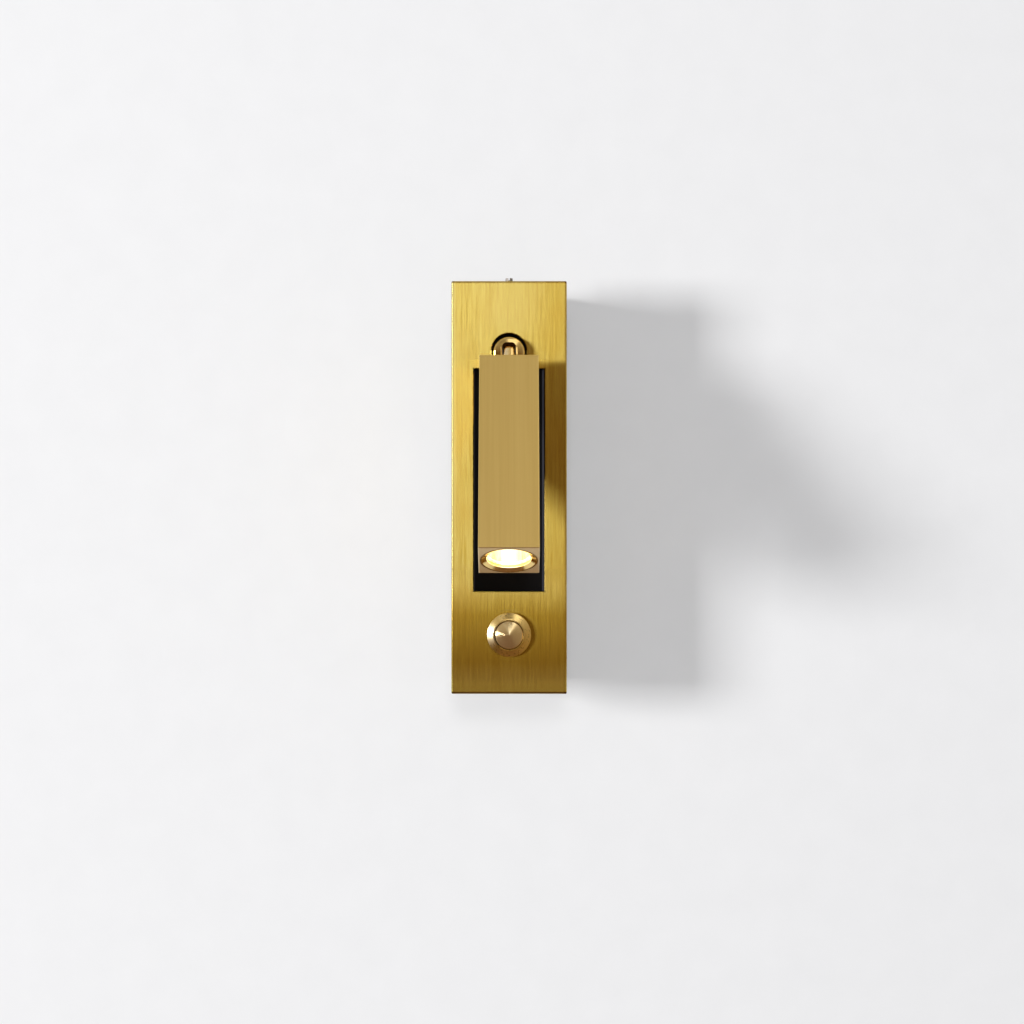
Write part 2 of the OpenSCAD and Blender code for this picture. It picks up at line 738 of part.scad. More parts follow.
// Square bar bored from the lens end, with a counterbore that the ring sits in
module head_housing() {
    color("darkgoldenrod") from_lens_end() difference() {
        intersection() {
            translate([0, 0, -over]) linear_extrude(head_len + 2 * over)
                round_rect(head_w, head_w, head_edge_r);
            translate([0, head_w / 2 + over, head_len / 2]) rotate([90, 0, 0])
                linear_extrude(head_w + 2 * over) cut_corner_rect(head_w, head_len, head_chamfer);
            translate([-head_w / 2 - over, 0, head_len / 2]) rotate([90, 0, 90])
                linear_extrude(head_w + 2 * over) cut_corner_rect(head_w, head_len, head_chamfer);
        }
        translate([0, 0, -over]) cylinder(h = head_len - head_top_t + over, d = head_bore_d);
        translate([0, 0, -over]) cylinder(h = ring_t + over, d = ring_d + 2 * ring_gap);
        cylinder(h = head_len + over, d = stub_d + 2 * slip);
    }
}

// Dished ring that screws into the bore and holds the glass
module lens_ring() {
    rim_r = ring_d / 2;
    open_r = ring_open_d / 2;
    color("gold") from_lens_end() rotate_extrude() polygon([[rim_r, 0], [rim_r, ring_t], [skirt_r, ring_t],
        [skirt_r, ring_t + skirt_len], [seat_r, ring_t + skirt_len], [seat_r, ring_t], [open_r, ring_t],
        [open_r, ring_dish], [rim_r - ring_rim, 0]]);
}

module front_glass() {
    color("lightcyan", 0.5) from_lens_end() translate([0, 0, glass_u])
        cylinder(h = glass_t, r = seat_r - slip);
}

module glass_gasket() {
    color("white") from_lens_end() translate([0, 0, gasket_u])
        ring(seat_r - slip, reflector_mouth_r, gasket_t);
}

// Radius of the reflector at the share t of its height, a parabola from the mouth to the board
function reflector_r(t) = sqrt(reflector_mouth_r ^ 2 + (reflector_base_r ^ 2 - reflector_mouth_r ^ 2) * t);

// Parabolic reflector with a flange at its mouth
module reflector() {
    steps = 10;
    flange_r = seat_r - slip;
    neck_r = reflector_r(reflector_wall / reflector_h) + reflector_wall;
    inner = [for (i = [0:steps]) [reflector_r(i / steps), reflector_h * i / steps]];
    outer = [for (i = [steps:-1:1]) [reflector_r(i / steps) + reflector_wall, reflector_h * i / steps]];
    flange = [[neck_r, reflector_wall], [flange_r, reflector_wall], [flange_r, 0]];
    color("gold") from_lens_end() translate([0, 0, reflector_u]) rotate_extrude()
        polygon(concat(inner, outer, flange));
}

// Places of the two board screws
module at_board_screws() {
    for (x = [-1, 1]) translate([x * board_screw_r, 0, 0]) children();
}

// Cutter for a wire channel along the back of a bar of radius r
module wire_channel(r, length) {
    translate([-channel_w / 2, r - channel_depth, -over])
        cube([channel_w, channel_depth + over, length + 2 * over]);
}

module led_board() {
    board_r = head_bore_d / 2 - 2 * slip;
    color("white") from_lens_end() translate([0, 0, board_u]) difference() {
        cylinder(h = board_t, r = board_r);
        at_board_screws() translate([0, 0, -over])
            cylinder(h = board_t + 2 * over, d = board_screw_d + 2 * slip);
    }
}

module led_chip() {
    base_t = 0.8;
    dome_sunk = 0.3;
    color("khaki") from_lens_end() translate([0, 0, board_u - base_t]) {
        translate([-chip_w / 2, -chip_w / 2, 0]) cube([chip_w, chip_w, base_t]);
        intersection() {
            translate([0, 0, dome_sunk]) sphere(chip_w * 0.42);
            translate([0, 0, -chip_w / 2]) cube([chip_w, chip_w, chip_w], center = true);
        }
    }
}

// Two screws that clamp the board to the heat sink
module board_screws() {
    color("silver") from_lens_end() translate([0, 0, board_u]) at_board_screws() {
        translate([0, 0, -board_screw_head_h]) cylinder(h = board_screw_head_h, d = board_screw_head_d);
        cylinder(h = board_t + board_screw_grip, d = board_screw_d);
    }
}

// Aluminium slug pressed into the bore, with a channel for the leads
module heat_sink() {
    color("silver") from_lens_end() translate([0, 0, sink_u]) difference() {
        cylinder(h = sink_len, r = sink_r);
        wire_channel(sink_r, sink_len);
        at_board_screws() translate([0, 0, -over])
            cylinder(h = board_screw_grip + 2 * over, d = board_screw_d + 2 * running);
    }
}

// Pair from the tongue's bore down the channel to the back of the board
module head_leads() {
    start = head_len - head_top_t;
    stub_end = head_len - stub_l;
    channel_y = sink_r - channel_depth + lead_d / 2 + slip;
    top = sink_u + sink_len;
    fall = [0, 0, -10];
    for (x = [-1, 1]) color(x < 0 ? "black" : "firebrick") from_lens_end()
        translate([x * lead_pitch / 2, 0, 0]) tube(concat([[0, 0, start]],
            curve([0, 0, stub_end - 1], fall, [0, channel_y, top + 1], fall, 14),
            [[0, channel_y, sink_u]]), lead_d, [1, 0, 0]);
}

// Push switch

// Threaded barrel with a conical bezel, bored in steps for the cap and the base
module switch_shell() {
    r = barrel_d / 2;
    color("goldenrod") on_face(switch_z) rotate_extrude() polygon([
        [cap_bore_r, bezel_top], [cap_bore_r, lip_h], [cap_lip_r + cap_gap, lip_h],
        [cap_lip_r + cap_gap, base_h], [base_neck_r + running, base_h],
        [base_neck_r + running, -barrel_len], [r, -barrel_len], [r, seal_t], [bezel_d / 2, seal_t],
        [bezel_d / 2, seal_t + bezel_edge], [cap_bore_r + bezel_flat, bezel_top]]);
}

module switch_gasket() {
    color("dimgray") on_face(switch_z) ring(bezel_d / 2 - 0.2, barrel_d / 2 + running, seal_t);
}

module switch_nut() {
    color("silver") on_face(switch_z) translate([0, 0, carrier_back - switch_nut_t])
        hex_nut(switch_nut_af, switch_nut_t, barrel_d + 2 * running);
}

// Insulating base in the end of the barrel, with a guide hole for the cap's stem
module switch_base() {
    color("dimgray") on_face(switch_z) difference() {
        union() {
            translate([0, 0, -barrel_len]) cylinder(h = barrel_len + base_h, r = base_neck_r);
            translate([0, 0, base_h - base_len])
                cylinder(h = base_len - barrel_len - base_h, r = barrel_d / 2);
        }
        translate([0, 0, base_h - guide_depth]) cylinder(h = guide_depth + over, r = cap_stem_r + slip);
    }
}

// Two brass tags that stand out behind the base
module switch_tags() {
    color("gold") on_face(tag_z) for (x = [-1, 1])
        translate([x * tag_x - tag_t / 2, -tag_w / 2, tag_end]) cube([tag_t, tag_w, tag_len]);
}

// Return spring round the cap's stem
module switch_spring() {
    steps = 10;
    from = base_h + spring_wire / 2;
    rise = lip_h - cap_lip_t - spring_wire / 2 - from;
    turns = [for (i = [0:spring_turns * steps]) let (a = 360 * i / steps)
        [spring_r * cos(a), spring_r * sin(a), from + rise * i / (spring_turns * steps)]];
    color("silver") on_face(switch_z) tube(turns, spring_wire, [0, 0, 1], 6);
}

// Push cap with a shallow dished face, a lip that holds it in, and a stem
module switch_cap() {
    r = cap_d / 2;
    edge = 0.3;
    dish = 0.15;
    color("gold") on_face(switch_z) rotate_extrude() polygon([
        [0, cap_face - dish], [r * 0.6, cap_face - dish / 2], [r - edge, cap_face], [r, cap_face - edge],
        [r, lip_h - running], [cap_lip_r, lip_h - running], [cap_lip_r, lip_h - cap_lip_t],
        [cap_stem_r, lip_h - cap_lip_t], [cap_stem_r, base_h - cap_travel], [0, base_h - cap_travel]]);
}

front_plate();
plate_studs();
stud_nuts();
recess_pocket();
back_box();
cable_bushing();
earth_stud();
earth_nut();
terminal_block();
terminal_screws();
led_driver();
driver_pad();
mains_leads();
switch_lead();
lamp_leads();
top_set_screw();
set_screw_nut();
knuckle();
knuckle_washer();
knuckle_nut();
hinge_pin();
friction_washers();
switch_shell();
switch_gasket();
switch_nut();
switch_base();
switch_tags();
switch_spring();
switch_cap();
head_tongue();
tongue_nut();
head_housing();
heat_sink();
led_board();
led_chip();
board_screws();
reflector();
glass_gasket();
front_glass();
lens_ring();
head_leads();
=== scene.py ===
import math

import bmesh
import bpy
import numpy as np
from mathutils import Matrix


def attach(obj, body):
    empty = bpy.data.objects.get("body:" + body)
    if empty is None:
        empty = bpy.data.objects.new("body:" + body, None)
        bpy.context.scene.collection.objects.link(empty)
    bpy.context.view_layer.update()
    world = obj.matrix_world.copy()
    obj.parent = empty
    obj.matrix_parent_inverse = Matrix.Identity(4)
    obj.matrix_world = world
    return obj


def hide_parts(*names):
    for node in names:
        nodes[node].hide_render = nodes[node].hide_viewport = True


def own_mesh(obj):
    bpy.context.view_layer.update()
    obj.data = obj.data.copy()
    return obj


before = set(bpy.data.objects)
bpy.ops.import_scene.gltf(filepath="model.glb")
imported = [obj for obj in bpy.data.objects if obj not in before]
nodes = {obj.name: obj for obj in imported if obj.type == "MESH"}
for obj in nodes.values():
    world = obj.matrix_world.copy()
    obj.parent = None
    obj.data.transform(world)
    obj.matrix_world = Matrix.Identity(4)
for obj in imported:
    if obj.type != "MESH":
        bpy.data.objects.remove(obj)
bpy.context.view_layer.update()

# Camera
# The photograph is taken level and square to the wall with a long lens, a little below the
# middle of the plate.
camera = bpy.data.objects.new("camera", bpy.data.cameras.new("camera"))
bpy.context.scene.collection.objects.link(camera)
bpy.context.scene.camera = camera
camera.data.sensor_width = 36
camera.data.lens = 81.05
camera.data.clip_start = 0.01
camera.location = (0.0012, -0.985, -0.0101)
camera.rotation_euler = (math.radians(90), 0, 0)
bpy.context.scene.view_settings.view_transform = "Standard"


# Wall
# Pale painted plaster, very slightly uneven, which is the plain ground of the picture. It has
# a hole where the box is screwed on, and it is open from behind, so that the back can be
# looked at.
def shade(red, green, blue):
    """Linear colour of the usual 0 to 255 screen values, by the sRGB curve."""
    parts = np.array([red, green, blue]) / 255
    low = parts <= 0.04045
    linear = np.where(low, parts / 12.92, ((parts + 0.055) / 1.055) ** 2.4)
    return (*linear.tolist(), 1.0)


class Value:
    """One output of a shader node. Python arithmetic on it adds Math nodes to its material."""

    def __init__(self, finish, socket):
        self.finish, self.socket = finish, socket

    def math(self, operation, *values):
        return self.finish.node("Math", {"operation": operation}, dict(enumerate(values)))

    def __add__(self, other):
        return self.math("ADD", self, other)

    def __sub__(self, other):
        return self.math("SUBTRACT", self, other)

    def __rsub__(self, other):
        return self.math("SUBTRACT", other, self)

    def __mul__(self, other):
        return self.math("MULTIPLY", self, other)

    def __truediv__(self, other):
        return self.math("DIVIDE", self, other)

    def __pow__(self, other):
        return self.math("POWER", self, other)

    def __gt__(self, other):
        return self.math("GREATER_THAN", self, other)

    def __abs__(self):
        return self.math("ABSOLUTE", self)

    __radd__, __rmul__ = __add__, __mul__


class Finish:
    """A material built round one Principled shader."""

    def __init__(self, name, **constants):
        self.owner = bpy.data.materials.new(name)
        self.owner.use_nodes = True
        self.tree = self.owner.node_tree
        self.shader = self.tree.nodes["Principled BSDF"]
        self.output = self.tree.nodes["Material Output"]
        self.place = self.node("TexCoord", out="Object")
        self.feed(**constants)

    def put(self, socket, value):
        """Links a node's value to a socket, or sets the socket to a number or a colour."""
        if isinstance(value, Value):
            self.tree.links.new(value.socket, socket)
        else:
            socket.default_value = value

    def node(self, kind, settings=None, values=None, out=0):
        """Adds a node, sets its settings, then the values or links of its sockets."""
        node = self.tree.nodes.new("ShaderNode" + kind)
        for name, setting in (settings or {}).items():
            if name == "stops":
                ends = node.color_ramp.elements
                ends[0].color, ends[1].color = setting[0][1], setting[-1][1]
                for place, colour in setting[1:-1]:
                    ends.new(place).color = colour
            else:
                setattr(node, name, setting)
        for name, value in (values or {}).items():
            self.put(node.inputs[name], value)
        return Value(self, node.outputs[out])

    def feed(self, **values):
        """Sets or links sockets of the shader, named in small letters with underscores."""
        for name, value in values.items():
            title = name.replace("_", " ").title().replace("Ior", "IOR")
            self.put(self.shader.inputs[title], value)

    def along(self, axes, vector=None):
        """Coordinates along the axes named, such as "XZ", of the place or of another vector."""
        vector = self.place if vector is None else vector
        return [self.node("SeparateXYZ", None, {0: vector}, axis) for axis in axes]

    def stretched(self, scale, turn=(0, 0, 0)):
        """Object coordinates turned, then multiplied by scale along each axis."""
        turned = self.node("Mapping", None, {"Vector": self.place, "Rotation": turn})
        return self.node("Mapping", None, {"Vector": turned, "Scale": scale})

    def noise(self, vector, scale=1.0, detail=3.0, roughness=0.5):
        return self.node("TexNoise", None, {"Vector": vector, "Scale": scale, "Detail": detail,
                                            "Roughness": roughness}, "Fac")

    def spread(self, value, low, high, to_low=0.0, to_high=1.0):
        """The value from low to high brought to a clamped run from to_low to to_high."""
        return self.node("MapRange", None, {"Value": value, "From Min": low, "From Max": high,
                                            "To Min": to_low, "To Max": to_high})

    def within(self, value, start, full, leave, end):
        """1 where the value lies from full to leave, and falling to 0 at start and at end."""
        return self.spread(value, start, full) * self.spread(value, end, leave)

    def blend(self, share, first, second, way="MIX"):
        """Colour that goes from the first to the second as share goes from 0 to 1, or with the
        way MULTIPLY, to the two multiplied."""
        return self.node("Mix", {"data_type": "RGBA", "blend_type": way},
                         {0: share, 6: first, 7: second}, 2)

    def bump(self, height, distance, strength=1.0):
        return self.node("Bump", None, {"Height": height, "Distance": distance,
                                        "Strength": strength}, "Normal")

    def glossy(self, tone, roughness, anisotropy=0.0):
        """Glossy shader in a tone with more red than green and more green than blue: white,
        yellow, red and black ones, mixed in the shares that together give the tone."""
        red, green, blue = [self.node("SeparateColor", None, {0: tone}, part)
                            for part in ("Red", "Green", "Blue")]
        shader = None
        for share, colour in ((1, (1, 1, 1, 1)), (blue / green, (1, 1, 0, 1)),
                              (green / red, (1, 0, 0, 1)), (red, (0, 0, 0, 1))):
            pure = self.node("BsdfAnisotropic", None, {
                "Color": colour, "Roughness": roughness, "Anisotropy": anisotropy})
            shader = pure if shader is None else self.node(
                "MixShader", None, {0: share, 1: pure, 2: shader})
        return shader

    def mix_in(self, share, other):
        """Covers the surface with a mix of its own shader and that share of another."""
        own = Value(self, self.shader.outputs[0])
        self.put(self.output.inputs["Surface"],
                 self.node("MixShader", None, {0: share, 1: own, 2: other}))


def add_mesh(name, points, faces):
    """Object whose mesh has these points and faces, with its place in its mesh."""
    mesh = bpy.data.meshes.new(name)
    mesh.from_pydata(np.asarray(points).reshape(-1, 3).tolist(), [], faces)
    piece = bpy.data.objects.new(name, mesh)
    bpy.context.scene.collection.objects.link(piece)
    return piece


plaster = Finish("plaster", roughness=0.85)
unevenness = plaster.noise(plaster.place, 60, 4)
plaster.feed(base_color=plaster.blend(unevenness, shade(230, 230, 231), shade(235, 235, 236)),
             normal=plaster.bump(unevenness, 0.0004, 0.15))
from_behind = plaster.node("NewGeometry", out="Backfacing")
plaster.mix_in(from_behind, plaster.node("BsdfTransparent"))

wall_half_width, wall_half_height = 2.6, 3.0
hole_half_width, hole_half_height = 0.0185, 0.0795
corners = np.array([[-1, -1], [1, -1], [1, 1], [-1, 1]])
wall_edge = corners * [wall_half_width, wall_half_height]
hole_edge = corners * [hole_half_width, hole_half_height]
wall = add_mesh("wall", [(x, 0.0, z) for x, z in np.vstack([wall_edge, hole_edge])],
                [(i, (i + 1) % 4, (i + 1) % 4 + 4, i + 4) for i in range(4)])
wall.data.materials.append(plaster.owner)


# Light
# A softbox far out to the left, a little above the light, throws the one clear shadow. A
# weak lamp behind the camera fills that shadow evenly, and a weaker broad one higher up
# shades the wall a little under the plate.
def add_lamp(name, shape, size, energy):
    """Area lamp that still stands at the origin."""
    lamp = bpy.data.objects.new(name, bpy.data.lights.new(name, "AREA"))
    bpy.context.scene.collection.objects.link(lamp)
    lamp.data.shape = shape
    lamp.data.size = size
    lamp.data.energy = energy
    return lamp


plate_front = 0.036
softbox = add_lamp("softbox", "RECTANGLE", 1.0, 231)
softbox.data.size_y = 1.16
softbox_reach = 5.0
softbox_left, softbox_out = 0.887 * softbox_reach, 0.461 * softbox_reach
softbox.location = (-softbox_left, -plate_front - softbox_out, 0.3)
softbox.rotation_euler = (math.radians(90), 0, math.radians(-62.5))

behind_camera = 3
for name, height, width, energy in [("fill", 0, 0.15, 39), ("overhead", 1.05, 0.8, 11)]:
    lamp = add_lamp(name, "DISK", width, energy)
    lamp.location = (0, -behind_camera, height)
    lamp.rotation_euler = (math.atan2(behind_camera, height), 0, 0)
    lamp.visible_glossy = False


# Room
# What polished brass shows of the room: dim and warm at eye level and below, paler upwards and
# to the right, with a long strip of ceiling light that runs from far off to over the camera and
# a panel of light high up on the right. The camera and the glass see a plain pale ground.
class Surround(Finish):
    """The world's own tree, with the same calls as a material."""

    def __init__(self, world):
        self.tree = world.node_tree
        self.shader = self.tree.nodes["Background"]


room = bpy.data.worlds.new("room")
bpy.context.scene.world = room
room.use_nodes = True
room.cycles.sampling_method = "NONE"
surround = Surround(room)
outward = surround.node("TexCoord", out="Generated")
sideward, upward = surround.along("XZ", outward)
room_tones = surround.node("ValToRGB", {"stops": [
    (0.00, shade(124, 96, 80)), (0.25, shade(124, 97, 78)), (0.45, shade(106, 79, 52)),
    (0.53, shade(108, 82, 54)), (0.60, shade(146, 130, 106)), (0.72, shade(180, 168, 148)),
    (0.88, shade(196, 189, 178)), (0.96, shade(206, 200, 190)), (1.00, (1.0, 0.96, 0.9, 1))]},
    {0: upward * 0.5 + 0.5})
right_hand = surround.spread(sideward, 0.25, 0.9, 0, 0.8)
room_tones = surround.blend(right_hand, room_tones, shade(196, 182, 156))
across = sideward / upward
strip_light, panel_light = (2.0, 1.92, 1.8, 1), (1.9, 1.8, 1.6, 1)
strip = (surround.within(across, -0.16, -0.04, 0.62, 0.8)
         * surround.within(upward, 0.13, 0.24, 0.56, 0.7))
room_tones = surround.blend(strip, room_tones, strip_light)
panel = (surround.within(across, 0.2, 0.4, 0.75, 0.95)
         * surround.within(upward, 0.5, 0.6, 0.88, 0.94))
room_tones = surround.blend(panel, room_tones, panel_light)
pale_ground, dim_fill = shade(240, 240, 241), (0.12, 0.12, 0.125, 1)
seen = surround.blend(surround.node("LightPath", out="Is Diffuse Ray"), pale_ground, dim_fill)
mirrored = surround.node("LightPath", out="Is Glossy Ray")
surround.feed(color=surround.blend(mirrored, seen, room_tones))


# Front plate
# A brass plate 3 mm thick, brushed upright and lacquered. The grooves spread light sideways,
# so it shines under a lamp at its own height and goes dark where the lamp ends. Painted light
# and shade lie on its tone, its rounded edges and the sheared edge of its slot.
def assign(finish, *names):
    """Gives CAD nodes a finish in place of their plain colour."""
    for name in names:
        nodes[name].data.materials.clear()
        nodes[name].data.materials.append(finish.owner)


plate_brass = Finish("plate_brass", metallic=1.0, roughness=0.3)
plate_x, plate_y, plate_z = plate_brass.along("XYZ")
from_centre = abs(plate_x)

fine_grain = plate_brass.noise(plate_brass.stretched((3000, 3000, 90)), 1, 4, 0.65)
long_grain = plate_brass.noise(plate_brass.stretched((1300, 1300, 30)), 1, 3, 0.55)
ridges = plate_brass.spread(fine_grain * 0.62 + long_grain * 0.38, 0.4, 0.6)
patina = plate_brass.spread(plate_brass.noise(plate_brass.place, 45, 3), 0.35, 0.7, 0, 0.55)
plate_tone = plate_brass.blend(ridges, shade(226, 197, 92), shade(255, 236, 134))
plate_tone = plate_brass.blend(patina, plate_tone, shade(236, 202, 98))

# Painted shade and light: the tone is darker across the middle, below the slot and on the right,
# and painted lighter at the foot, above the knuckle and along the left edge, as the lamp
# reflects.
painted_middle_shade = plate_brass.within(plate_z, -0.042, -0.03, 0.035, 0.075)
black = (0, 0, 0, 1)
plate_tone = plate_brass.blend(painted_middle_shade * 0.08, plate_tone, black)
painted_low_shade = plate_brass.within(plate_z, -0.081, -0.072, -0.053, -0.04)
low_shade_tint, right_shade_tint = (0.73, 0.62, 0.32, 1), (0.9, 0.85, 0.68, 1)
plate_tone = plate_brass.blend(painted_low_shade, plate_tone, low_shade_tint, "MULTIPLY")
painted_right_shade = (plate_brass.spread(plate_x, 0.004, 0.018)
              * plate_brass.spread(plate_z, -0.045, -0.036))
plate_tone = plate_brass.blend(painted_right_shade, plate_tone, right_shade_tint, "MULTIPLY")
painted_foot_sheen = plate_brass.spread(plate_z, -0.078, -0.083)
plate_tone = plate_brass.blend(painted_foot_sheen * 0.6, plate_tone, shade(255, 234, 116))
painted_top_sheen = (plate_brass.spread(from_centre, 0.02, 0.004)
                 * plate_brass.spread(plate_z, 0.056, 0.068))
painted_left_highlight = (plate_brass.spread(plate_x, -0.0216, -0.0228)
             * plate_brass.spread(plate_z, -0.03, 0.0))
plate_tone = plate_brass.blend(painted_top_sheen * 0.22 + painted_left_highlight * 0.5, plate_tone,
                               shade(255, 244, 160))

# Painted shade on the sheared edge of the slot, damping its highlight, then on the rounded
# edges:
# painted dark reflections at the top, at the foot and on the right, and darker on the lamp's
# side.
slot_side, slot_foot, slot_head = 0.0146, -0.0431, 0.0492
painted_slot_edge_shade = (plate_brass.within(from_centre, slot_side - 0.0001, slot_side, 0.0149, 0.01495)
             * plate_brass.within(plate_z, slot_foot - 0.0001, slot_foot,
                                  slot_head, slot_head + 0.0001))
plate_tone = plate_brass.blend(painted_slot_edge_shade * 0.86, plate_tone, shade(70, 52, 30))
rounding = plate_brass.spread(plate_y, -0.0351, -0.0353)
painted_edge_shade = (plate_brass.spread(plate_z, 0.084, 0.0843) * 0.62
        + plate_brass.spread(plate_z, -0.084, -0.0843) * 0.76
        + plate_brass.spread(plate_x, 0.0224, 0.0232) * 0.24)
painted_lamp_side = (plate_brass.spread(plate_x, -0.0228, -0.0232)
             * plate_brass.spread(plate_z, -0.07, -0.035, 0.5, 0.84))
plate_tone = plate_brass.blend(rounding * painted_edge_shade, plate_tone, shade(88, 32, 8))
plate_tone = plate_brass.blend(rounding * painted_lamp_side, plate_tone, shade(36, 32, 28))

plate_brass.feed(base_color=plate_tone, normal=plate_brass.bump(fine_grain, 0.00001, 0.2))
plate_brass.mix_in(0.82, plate_brass.glossy(plate_tone, 0.211, -0.8))
assign(plate_brass, "front_plate")


# Head
# A square brass bar, bored out from below, finely brushed along its length. Its lens end is
# cut square, with a painted paler tone that stands for the pale wall it reflects.
head_tilt = math.radians(25.6)
pivot_height, pivot_to_mouth = 0.0554, 0.0939
mouth = (math.cos(head_tilt) * pivot_height - math.sin(head_tilt) * plate_front
         - pivot_to_mouth)


def depth_in(finish):
    """How far a point lies inside the head from its lens end, along the head."""
    back, up = finish.along("YZ")
    return back * math.sin(head_tilt) + up * math.cos(head_tilt) - mouth


head_brass = Finish("head_brass", metallic=1.0)
head_turn = (head_tilt, 0, 0)
head_fine = head_brass.noise(head_brass.stretched((8000, 8000, 50), head_turn), 1, 4, 0.6)
head_long = head_brass.noise(head_brass.stretched((900, 900, 12), head_turn), 1, 3, 0.5)
head_tone = head_brass.blend(head_brass.spread(head_long, 0.3, 0.7),
                             shade(203, 174, 105), shade(209, 181, 112))
# Painted reflection: the lens end is made paler.
painted_pale_end = head_brass.spread(depth_in(head_brass), 0.0004, 0.0002)
head_brass.feed(base_color=head_brass.blend(painted_pale_end, head_tone, shade(230, 203, 153)),
                roughness=head_brass.spread(head_fine, 0.3, 0.7, 0.3, 0.38),
                normal=head_brass.bump(head_fine, 0.00002, 0.25))
assign(head_brass, "head_housing")

# Knuckle
# A turned brass clevis in the plate's arch, polished by hand, with fine turning marks left in
# the polish. The bevels of its slot are dull, and painted shade darkens its slot and its crown.
polished_brass = Finish("polished_brass", metallic=1.0)
polish_marks = polished_brass.noise(polished_brass.place, 2600, 3)
polish_cloud = polished_brass.noise(polished_brass.place, 260, 3)
knuckle_x, knuckle_y, knuckle_z = polished_brass.along("XYZ")
bevel = (polished_brass.within(abs(knuckle_x), 0.00275, 0.0028, 0.00345, 0.0035)
         * polished_brass.spread(knuckle_z, 0.0577, 0.0575))
# Painted shade inside the slot and on the crown of the knuckle.
painted_recess_shade = polished_brass.spread(knuckle_y, -0.0374, -0.0368)
painted_crown_shade = polished_brass.spread(knuckle_z, 0.0585, 0.0598, 0, 0.35)
knuckle_tone = polished_brass.blend(polish_cloud, shade(226, 196, 126), shade(236, 210, 146))
knuckle_tone = polished_brass.blend(painted_crown_shade, knuckle_tone, shade(120, 92, 54))
polished_brass.feed(
    base_color=polished_brass.blend(painted_recess_shade, knuckle_tone, shade(112, 80, 40)),
    roughness=polished_brass.spread(polish_marks, 0.3, 0.7, 0.1, 0.17) + bevel * 0.62,
    normal=polished_brass.bump(polish_marks, 0.000004, 0.3))
assign(polished_brass, "knuckle")

# Tongue
# The brass tongue of the head, whose round eye turns on the hinge pin in the knuckle's slot.
# It is satin, with a painted highlight low on its left side.
satin_brass = Finish("satin_brass", metallic=1.0)
satin_marks = satin_brass.noise(satin_brass.place, 1800, 3)
tongue_x, tongue_z = satin_brass.along("XZ")
painted_tongue_highlight = (satin_brass.spread(tongue_x, 0.0002, -0.0014)
          * satin_brass.spread(tongue_z, 0.0575, 0.0568))
satin_tone = satin_brass.blend(satin_marks, shade(228, 194, 122), shade(238, 208, 142))
satin_brass.feed(base_color=satin_brass.blend(painted_tongue_highlight, satin_tone, shade(255, 238, 196)),
                 roughness=satin_brass.spread(satin_marks, 0.3, 0.7, 0.2, 0.26))
assign(satin_brass, "head_tongue")


# Switch bezel
# The brass shell of a panel switch, turned on a lathe: a slightly bowed cone over the plate,
# and a barrel behind it that a nut holds. The rings of the tool lie in its shading.
def on_face(points, height_of_centre):
    """Points (x, y, h) over the plate, h out of its front, moved to the wall's frame."""
    x, y, h = np.moveaxis(np.asarray(points, float), -1, 0)
    return np.stack([x, -plate_front - h, height_of_centre + y], -1)


def turned(profile, sides):
    """Grid of a profile (r, h) turned about its axis: (r cos a, r sin a, h) for each angle a."""
    profile = np.asarray(profile, float)
    angle = np.arange(sides) * 2 * np.pi / sides
    radius = profile[:, :1]
    return np.stack([radius * np.cos(angle), radius * np.sin(angle),
                     np.repeat(profile[:, 1:], sides, axis=1)], -1)


def bowed(start, end, bulge, steps=24):
    """Line from start to end that bulges by the height of a parabola in its middle."""
    start, end = np.array(start, float), np.array(end, float)
    share = np.linspace(0, 1, steps + 1)[:, None]
    along = (end - start) / np.linalg.norm(end - start)
    return (start + share * (end - start)
            + bulge * 4 * share * (1 - share) * [along[1], -along[0]])


def weld(mesh):
    """Merges the points that coincide and turns all faces outwards."""
    shape = bmesh.new()
    shape.from_mesh(mesh)
    bmesh.ops.remove_doubles(shape, verts=shape.verts, dist=1e-7)
    bmesh.ops.recalc_face_normals(shape, faces=shape.faces)
    shape.to_mesh(mesh)
    shape.free()


def add_grid(name, points, finish, body, closed=False):
    """Smooth surface through a grid of points whose last column joins the first. With closed,
    the last row joins the first as well."""
    rows, columns = points.shape[:2]
    row = np.arange(rows if closed else rows - 1)[:, None]
    column = np.arange(columns)[None, :]
    here = row * columns + column
    beside = row * columns + (column + 1) % columns
    above = (row + 1) % rows * columns + column
    diagonal = (row + 1) % rows * columns + (column + 1) % columns
    faces = np.stack([here, beside, diagonal, above], -1).reshape(-1, 4)
    piece = add_mesh(name, points, faces.tolist())
    weld(piece.data)
    piece.data.shade_smooth()
    piece.data.set_sharp_from_angle(angle=math.radians(28))
    piece.data.materials.append(finish.owner)
    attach(piece, body)
    return piece


def from_axis(finish):
    """Direction away from the switch's axis, and the distance from it."""
    x, z = finish.along("XZ")
    offset = finish.node("CombineXYZ", None, {"X": x, "Z": z - switch_z})
    return (finish.node("VectorMath", {"operation": "NORMALIZE"}, {0: offset}),
            finish.node("VectorMath", {"operation": "LENGTH"}, {0: offset}, "Value"))


def leaning(finish, direction, slope):
    """The surface's normal, leaning in a direction by a slope."""
    lean = finish.node("VectorMath", {"operation": "SCALE"}, {0: direction, "Scale": slope})
    straight = finish.node("NewGeometry", out="Normal")
    total = finish.node("VectorMath", {"operation": "ADD"}, {0: straight, 1: lean})
    return finish.node("VectorMath", {"operation": "NORMALIZE"}, {0: total})


switch_z = -0.0607
switch_brass = Finish("switch_brass", metallic=1.0, coat_weight=0.5, coat_roughness=0.2)
switch_cloud = switch_brass.noise(switch_brass.place, 900, 3)
away, reach = from_axis(switch_brass)
away_x, away_z = switch_brass.along("XZ", away)
